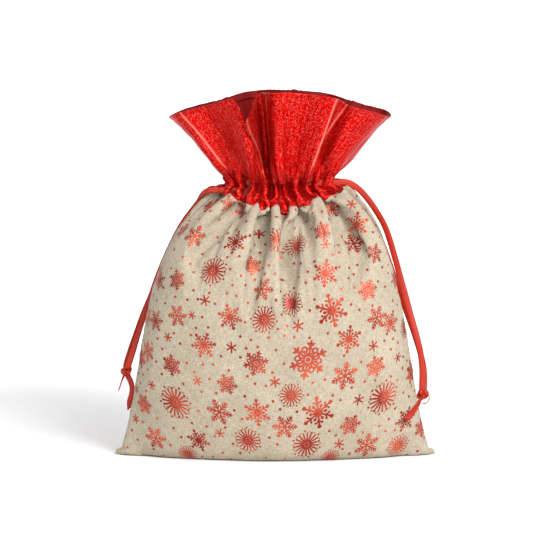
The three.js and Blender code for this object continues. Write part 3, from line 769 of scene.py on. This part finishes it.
def flake(stamp, kind, centre, size, turned=0.0):
    """One snowflake, size across. balls, cross, fern, lace, petals and dot are the six designs of the cloth."""
    r, line = size / 2, max(0.0008, size * 0.055)
    for arm in range(6):
        angle = turned + arm * math.pi / 3
        if kind == "balls":
            stamp.bar(centre, angle, 0, r * 0.86, line)
            stamp.disc(centre, angle, r * 0.88, r * 0.13)
            for lean in (0.30, -0.30):
                stamp.disc(centre, angle + lean, r * 0.66, r * 0.075, sides=6)
            stamp.bar(centre, angle, r * 0.46, r * 0.26, line * 0.7, 0.7)
            stamp.bar(centre, angle, r * 0.46, r * 0.26, line * 0.7, -0.7)
            stamp.disc(centre, angle + math.pi / 6, r * 0.44, r * 0.10)
            stamp.bar(centre, angle + math.pi / 6, 0, r * 0.40, line * 0.8)
        elif kind == "cross":
            stamp.bar(centre, angle, 0, r, max(0.0009, size * 0.13))
        elif kind == "fern":
            stamp.bar(centre, angle, 0, r, line)
            for out, reach in ((0.26, 0.34), (0.50, 0.34), (0.74, 0.22)):
                for lean in (0.75, -0.75):
                    stamp.bar(centre, angle, r * out, r * reach, line * 0.85, lean)
        elif kind == "lace":
            stamp.bar(centre, angle, r * 0.20, r * 0.80, line * 0.9)
            stamp.ring(centre, angle, r * 0.42, r * 0.20, line * 0.8, long=1.15)
            stamp.ring(centre, angle + math.pi / 6, r * 0.56, r * 0.17, line * 0.8)
            stamp.disc(centre, angle, r * 0.78, r * 0.13, sides=6)
            for lean in (0.8, -0.8):
                stamp.bar(centre, angle, r * 0.66, r * 0.28, line * 0.8, lean)
        elif kind == "petals":
            for lean in (0.17, -0.17):
                stamp.bar(centre, angle + lean, r * 0.24, r * 0.58, line * 0.88)
            stamp.bar(centre, angle, 0, r * 0.30, line * 0.8)
            stamp.disc(centre, angle, r * 0.92, r * 0.075, sides=6)
            stamp.bar(centre, angle + math.pi / 6, r * 0.16, r * 0.52, line)
            stamp.disc(centre, angle + math.pi / 6, r * 0.78, r * 0.085, sides=6)
            for lean in (0.33, -0.33):
                stamp.disc(centre, angle + lean, r * 0.86, r * 0.05, sides=6)
    if kind in ("lace", "petals", "balls"):
        stamp.disc(centre, turned, 0, r * 0.13, sides=6)
    if kind in ("lace", "balls"):
        stamp.ring(centre, turned, 0, r * 0.26, line * 0.8, sides=12)
    if kind == "dot":
        stamp.disc(centre, turned, 0, r, sides=8)


# The flakes of the front as it stands: millimetres right of the middle and up from the floor, and size across.
FRONT_FLAKES = {
    "balls": [(-31, 176, 20), (-35, 117, 21), (-56, 94, 21), (-14, 40, 22), (-61, 17, 19), (-95, 112, 18),
              (-92, 143, 16),
              (65, 188, 21), (40, 152, 22), (45, 123, 27), (92, 111, 20), (59, 99, 22), (34, 41, 27),
              (105, 31, 20),
              (-36, 204, 16), (46, 201, 16)],
    "cross": [(-12, 180, 8), (-55, 130, 9), (-85, 99, 8), (-34, 93, 9), (-61, 66, 8), (-99, 60, 8),
              (0, 66, 9),
              (-112, 30, 8), (-44, 23, 8), (61, 204, 9), (40, 174, 8), (18, 110, 10), (78, 93, 9),
              (98, 82, 8),
              (66, 50, 9), (51, 14, 9), (-66, 118, 7)],
    "fern": [(-64, 180, 19), (-10, 140, 19), (-78, 117, 18), (-102, 86, 17), (-44, 41, 21), (-96, 16, 19),
             (63, 173, 18), (81, 115, 19), (55, 70, 22), (110, 70, 18), (7, 29, 20), (73, 12, 21),
             (-24, 199, 17),
             (80, 166, 16)],
    "lace": [(-19, 157, 17), (-78, 145, 17), (-15, 81, 21), (-82, 77, 18), (-38, 64, 17), (-105, 43, 17),
             (37, 185, 17), (73, 138, 18), (26, 83, 31), (80, 76, 18), (60, 29, 18), (118, 23, 17),
             (-51, 202, 17)],
    "petals": [(-49, 154, 25), (-9, 115, 24), (-79, 47, 29), (-22, 18, 23), (3, 178, 21), (18, 172, 20),
               (14, 128, 22), (13, 54, 21), (87, 50, 29), (25, 14, 25), (99, 10, 21), (-70, 4, 17),
               (44, 3, 17)],
}


def cut_place_of(x, z):
    """The turn and height on the flat cloth of the place on the sack's front nearest to x, z."""
    half = FINE_ROUND // 2
    grid, out = smooth_cloth[:, :half + 1], outward[:, :half + 1]
    far = ((grid[..., 0] - x) ** 2 + (grid[..., 2] - z) ** 2 + np.where(out[..., 1] < 0.1, 0, 1)
           + np.where(fine_up[:, None] > JOIN_UP, 1, 0))
    row, column = np.unravel_index(int(np.argmin(far)), far.shape)
    return column / FINE_ROUND * ROUND_THE_SACK, fine_up[row]


spots = []
for kind, places in FRONT_FLAKES.items():
    for number, (x, z, size) in enumerate(places):
        across, up = cut_place_of(x / 1000, z / 1000)
        spots.append((kind, across, up, size / 1000, 0.35 * number + 0.1))
# Near the side seams, round the corner from the front.
for kind, across, up, size in (("fern", 0.009, 0.205, 0.015), ("petals", 0.010, 0.165, 0.019),
                               ("balls", 0.011, 0.128, 0.017),
                               ("lace", 0.010, 0.092, 0.017), ("cross", 0.008, 0.064, 0.008),
                               ("lace", 0.250, 0.204, 0.016),
                               ("balls", 0.249, 0.160, 0.017), ("petals", 0.249, 0.118, 0.019),
                               ("fern", 0.250, 0.078, 0.016),
                               ("cross", 0.252, 0.048, 0.008)):
    spots.append((kind, across, up, size, across * 40))
for face, (turn_from, turn_to) in PANELS.items():
    stamp = Stamp()
    back = face == "back"
    # The back is cut from the same cloth further along, so its pattern is shifted and runs on from the front's.
    laid = [(kind, (across + 0.093) % 0.25 + 0.005 if back else across, up, size, turned)
            for kind, across, up, size, turned in spots]
    for kind, across, up, size, turned in laid:
        flake(stamp, kind, (across, up), size, turned)
    pitch, row_number = 0.0118, 0
    for up in np.arange(0.012, JOIN_UP - 0.004, pitch * 0.82):
        row_number += 1
        for across in np.arange(0.006 + pitch / 2 * (row_number % 2), 0.255, pitch):
            spot = (across + 0.0022 * math.sin(across * 903 + up * 577), up + 0.0022
                    * math.sin(across * 411 + up * 1203))
            room = min(math.hypot(spot[0] - a, spot[1] - b) - size / 2 for _, a, b, size, _ in laid)
            if room > 0.0012 and 0.003 < spot[0] < 0.257 and spot[1] < JOIN_UP - 0.003:
                flake(stamp, "dot", spot, 0.0023)
    made = stamp.made
    beyond = [vert for vert in made.verts
              if not (0.0008 < vert.co.x < 0.2592 and 0.001 < vert.co.y < JOIN_UP - 0.0012)]
    bmesh.ops.delete(made, geom=beyond, context="VERTS")
    long_edges = [edge for edge in made.edges if edge.calc_length() > 0.0015]
    bmesh.ops.subdivide_edges(made, edges=long_edges, cuts=1, use_grid_fill=True)
    bmesh.ops.recalc_face_normals(made, faces=made.faces)
    cut = made.loops.layers.uv.new("cut")
    for loop in (loop for quad in made.faces for loop in quad.loops):
        loop[cut].uv = (loop.vert.co.x, loop.vert.co.y)
    flat = np.array([tuple(vert.co) for vert in made.verts])
    place, _ = on_cloth(turn_from + flat[:, 0] / ROUND_THE_SACK, flat[:, 1], flat[:, 2])
    for quad in made.faces:
        if quad.normal.z < 0:
            quad.normal_flip()
    for vert, spot in zip(made.verts, place):
        vert.co = Vector(spot)
    mesh = bpy.data.meshes.new("snowflakes_" + face)
    made.to_mesh(mesh)
    made.free()
    printed = add_piece("snowflakes_" + face, mesh, foil, "sack")

# ---- the lame collar ---------------------------------------------------------------------------------
# The stand of cloth above the join, in red lame: a knit with glitter bonded to it in fine stripes that run up.
# The drawstring's tunnel is sewn into its foot. It fans out from the neck, in a few broad folds.

lame, tree, shader = new_finish("red lame", Roughness=0.40, Metallic=0.65, Specular_IOR_Level=0.05)
uv, u, v = cut_place(tree)
stripe_wander = maths(tree, "MULTIPLY", patches(tree, uv, 60.0, 12.0, Detail=1.0), 0.0022)
stripes = maths(tree, "SINE", maths(tree, "MULTIPLY", maths(tree, "ADD", u, stripe_wander), 2 * math.pi
                                    / 0.0043))
flecks = node(tree, "ShaderNodeTexVoronoi", ("Vector", uv), ("Scale", 2100.0))
fleck = node(tree, "ShaderNodeSeparateColor", (0, flecks.outputs["Color"]))
cloudy = patches(tree, uv, 240.0, 90.0, Detail=4.0, Roughness=0.6)
striped = node(tree, "ShaderNodeMapRange", ("Value",
                                            maths(tree, "ADD", stripes,
                                                  maths(tree, "MULTIPLY", cloudy, 1.6))),
               ("From Min", -0.9), ("From Max", 2.5))
base = blend_colours(tree, striped.outputs[0], (0.330, 0.0004, 0.0003, 1), (0.660, 0.0028, 0.0018, 1))
# Bright flecks: the glitter itself, painted pale pink as glints where its flakes catch the light.
spark = maths(tree, "GREATER_THAN", fleck.outputs[0], 0.86)
dark_fleck = maths(tree, "LESS_THAN", fleck.outputs[1], 0.16)
sparked = blend_colours(tree, maths(tree, "MULTIPLY", spark, 0.55), base, (0.90, 0.20, 0.16, 1))
sparked = blend_colours(tree, maths(tree, "MULTIPLY", dark_fleck, 0.45), sparked, (0.12, 0.0, 0.0, 1))
# Along the outer edge of each fold a painted highlight: the colour turns bright where the crest catches the light.
ridge_highlight = 0.0
for turn, height in COLLAR_FOLDS:
    if height > 0.4:
        far = maths(tree, "ABSOLUTE", maths(tree, "SUBTRACT", u, turn * ROUND_THE_SACK))
        line = node(tree, "ShaderNodeMapRange", ("Value", far), ("From Min", 0.0003), ("From Max", 0.0013),
                    ("To Min", 1.0),
                    ("To Max", 0.0))
        ridge_highlight = maths(tree, "MAXIMUM", ridge_highlight, line.outputs[0])
high_up = node(tree, "ShaderNodeMapRange", ("Value", v), ("From Min", NECK_UP + 0.012),
               ("From Max", NECK_UP + 0.024))
ridge_highlight = maths(tree, "MULTIPLY", ridge_highlight, maths(tree, "MULTIPLY", high_up.outputs[0],
                                               maths(tree, "MULTIPLY", cloudy, 1.3)))
tree.links.new(blend_colours(tree, ridge_highlight, sparked, (0.95, 0.26, 0.20, 1)), shader.inputs["Base Color"])
rough = node(tree, "ShaderNodeMapRange", ("Value", fleck.outputs[2]), ("To Min", 0.26), ("To Max", 0.56))
tree.links.new(rough.outputs[0], shader.inputs["Roughness"])
height = maths(tree, "ADD", maths(tree, "MULTIPLY", fleck.outputs[1], 0.9),
               maths(tree, "MULTIPLY", stripes, 0.10))
bump = node(tree, "ShaderNodeBump", ("Height", height), ("Strength", 0.40), ("Distance", 0.00022))
tree.links.new(bump.outputs[0], shader.inputs["Normal"])

# The reverse of the lame, inside the collar and in its hem: duller than the face, and darkened further as painted
# shade for the inside of the funnel.
lame_reverse_painted_shade, tree, shader = new_finish("lame reverse", Roughness=0.6, Metallic=0.3, Specular_IOR_Level=0.15)
uv, u, v = cut_place(tree)
knit = maths(tree, "SINE", maths(tree, "MULTIPLY", u, 2 * math.pi / 0.0012))
speckle = maths(tree, "ADD", patches(tree, uv, 900.0, 900.0, Detail=3.0), maths(tree, "MULTIPLY", knit, 0.06))
tree.links.new(blend_colours(tree, speckle, (0.045, 0.0005, 0.0005, 1), (0.260, 0.002, 0.0015, 1)),
               shader.inputs["Base Color"])
bump = node(tree, "ShaderNodeBump", ("Height", speckle), ("Strength", 0.4), ("Distance", 0.0002))
tree.links.new(bump.outputs[0], shader.inputs["Normal"])

red_thread, tree, shader = new_finish("red thread", Roughness=0.6, Sheen_Weight=0.3,
                                      Sheen_Tint=(1, 0.5, 0.45, 1))
place = node(tree, "ShaderNodeTexCoord").outputs["Object"]
plies = node(tree, "ShaderNodeTexWave", ("Vector", place), ("Scale", 900.0), ("Distortion", 2.0))
tree.links.new(blend_colours(tree, plies.outputs[1], (0.30, 0.006, 0.005, 1), (0.62, 0.030, 0.022, 1)),
               shader.inputs["Base Color"])
linen_thread, tree, shader = new_finish("linen thread", Roughness=0.75, Sheen_Weight=0.2)
place = node(tree, "ShaderNodeTexCoord").outputs["Object"]
plies = node(tree, "ShaderNodeTexWave", ("Vector", place), ("Scale", 900.0), ("Distortion", 2.0))
tree.links.new(blend_colours(tree, plies.outputs[1], (0.50, 0.42, 0.30, 1), (0.72, 0.64, 0.50, 1)),
               shader.inputs["Base Color"])


def stitches(name, finish, slot, ends, pitch, long, thick, lift, *replaced):
    """A row of lockstitches along a line on the cloth from one (turn, up) to another, and more such rows."""
    made = bmesh.new()
    for (turn_from, up_from), (turn_to, up_to) in ends:
        span = math.hypot((turn_to - turn_from) * ROUND_THE_SACK, up_to - up_from)
        share = (np.arange(int(span / pitch)) + 0.5) * pitch / span
        turn, up = turn_from + (turn_to - turn_from) * share, up_from + (up_to - up_from) * share
        middle, out = on_cloth(turn, up, np.full(len(turn), lift))
        step = 0.3 * pitch / span
        ahead, _ = on_cloth(turn + (turn_to - turn_from) * step, up + (up_to - up_from) * step,
                            np.full(len(turn), lift))
        for spot, next_spot, normal in zip(middle, ahead, out):
            run = Vector(next_spot - spot).normalized()
            side = Vector(normal).cross(run).normalized()
            matrix = Matrix.Translation(Vector(spot)) @ Matrix((run, side,
                                                                run.cross(side))).transposed().to_4x4()
            matrix = matrix @ Matrix.Diagonal((long / 2, thick / 2, thick / 2,
                                               1)) @ Matrix.Rotation(math.pi / 2, 4, "Y")
            bmesh.ops.create_uvsphere(made, u_segments=6, v_segments=4, radius=1.0, matrix=matrix)
    bmesh.ops.recalc_face_normals(made, faces=made.faces)
    mesh = bpy.data.meshes.new(name)
    made.to_mesh(mesh)
    made.free()
    piece = add_piece(name, mesh, finish, "sack")
    if replaced:
        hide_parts(*replaced)
    return piece


for face, (turn_from, turn_to) in PANELS.items():
    collar = cloth_strip(face + "_collar_lame", lame, turn_from, turn_to, JOIN_UP - 0.0004, RIM_UP, 0.0001,
                         0.0004, 260, 84)
    collar.data.materials.append(lame_reverse_painted_shade)
    collar.modifiers["thickness"].material_offset = 1
    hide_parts("collar_" + face)
    hem = cloth_strip(face + "_collar_hem", lame_reverse_painted_shade, turn_from, turn_to, RIM_UP - 0.007, RIM_UP,
                      -0.00055, 0.0004, 208, 6)
rim_line = RIM_UP - 0.0055
stitches("hem_stitching_sewn", red_thread, "red_thread", [((0.0, rim_line), (1.0, rim_line))], 0.0026,
         0.0020, 0.0004, 0.0001,
         "hem_stitching")

# ---- the tunnel, seams and stitching -----------------------------------------------------------------
# A linen tape inside the neck makes the tunnel for the ribbons, held by a row of stitches above and below them.
# Inside the sack, the join's, the sides' and the foot's seam allowances are turned in and overcast.

for face, (turn_from, turn_to) in PANELS.items():
    inward = 0.0074 if face == "back" else -0.0074
    made = bmesh.new()
    bmesh.ops.create_grid(made, x_segments=40, y_segments=8, size=0.5,
                          matrix=Matrix.Rotation(math.pi / 2, 4, "X") @ Matrix.Diagonal((0.048, 0.013, 1, 1)))
    cut = made.loops.layers.uv.new("cut")
    for loop in (loop for quad in made.faces for loop in quad.loops):
        loop[cut].uv = (loop.vert.co.x, loop.vert.co.z)
    for vert in made.verts:
        vert.co += Vector((0, inward + 0.0004 * math.sin(vert.co.x * 900), 0.218))
    mesh = bpy.data.meshes.new(face + "_tunnel_tape_sewn")
    made.to_mesh(mesh)
    made.free()
    tape = add_piece(face + "_tunnel_tape_sewn", mesh, linen, "sack")
    wall = tape.modifiers.new("thickness", "SOLIDIFY")
    wall.thickness, wall.offset = 0.0005, 0.0
    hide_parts("tunnel_tape_" + face)
    join = cloth_strip(face + "_join_allowance", linen, turn_from + 0.01, turn_to - 0.01, JOIN_UP - 0.008,
                       JOIN_UP, -0.0008, 0.0007, 180, 5)
    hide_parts("join_seam_" + face)
upper, lower = NECK_UP + 0.0075, NECK_UP - 0.0085
stitches("tunnel_stitching_upper_sewn", red_thread, "red_thread", [((0.0, upper), (1.0, upper))], 0.0026,
         0.0020, 0.00042,
         0.0001, "tunnel_stitching_upper")
stitches("tunnel_stitching_lower_sewn", red_thread, "red_thread", [((0.0, lower), (1.0, lower))], 0.0026,
         0.0020, 0.00042,
         0.0001, "tunnel_stitching_lower")


def seam_allowance(name, ends, inward, across, high, replaced):
    """A double strip that stands in from the cloth along a seam: inward is how far and which way it reaches."""
    made = bmesh.new()
    bmesh.ops.create_grid(made, x_segments=across, y_segments=high, size=0.5)
    cut = made.loops.layers.uv.new("cut")
    made.verts.ensure_lookup_table()
    share = np.array([(vert.co.x + 0.5, vert.co.y + 0.5) for vert in made.verts])
    (turn_a, up_a), (turn_b, up_b) = ends
    place, _ = on_cloth(turn_a + (turn_b - turn_a) * share[:, 1], up_a + (up_b - up_a) * share[:, 1],
                        np.full(len(share), -0.0009))
    place = place + share[:, :1] * np.array(inward)
    place[:, 1] = place[:, 1] + 0.0005 * np.sin(share[:, 1] * 40) * share[:, 0]
    for vert, spot in zip(made.verts, place):
        vert.co = Vector(spot)
    for loop in (loop for quad in made.faces for loop in quad.loops):
        loop[cut].uv = (share[loop.vert.index][0] * 0.006, share[loop.vert.index][1] * 0.2)
    mesh = bpy.data.meshes.new(name)
    made.to_mesh(mesh)
    made.free()
    piece = add_piece(name, mesh, linen, "sack")
    wall = piece.modifiers.new("thickness", "SOLIDIFY")
    wall.thickness, wall.offset = 0.0009, 0.0
    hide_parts(replaced)
    return piece


seam_allowance("left_side_allowance", ((0.0, 0.022), (0.0, JOIN_UP - 0.006)), (0.006, 0, 0), 4, 110,
               "side_seam_left")
seam_allowance("right_side_allowance", ((0.5, 0.022), (0.5, JOIN_UP - 0.006)), (-0.006, 0, 0), 4, 110,
               "side_seam_right")
seam_allowance("foot_allowance", ((0.03, 0.0002), (0.47, 0.0002)), (0, 0, 0.006), 4, 150, "bottom_seam")
stitches("foot_stitching", linen_thread, "linen_thread", [((0.02, 0.0016), (0.48, 0.0016))], 0.0026, 0.0020,
         0.0003, -0.0001)
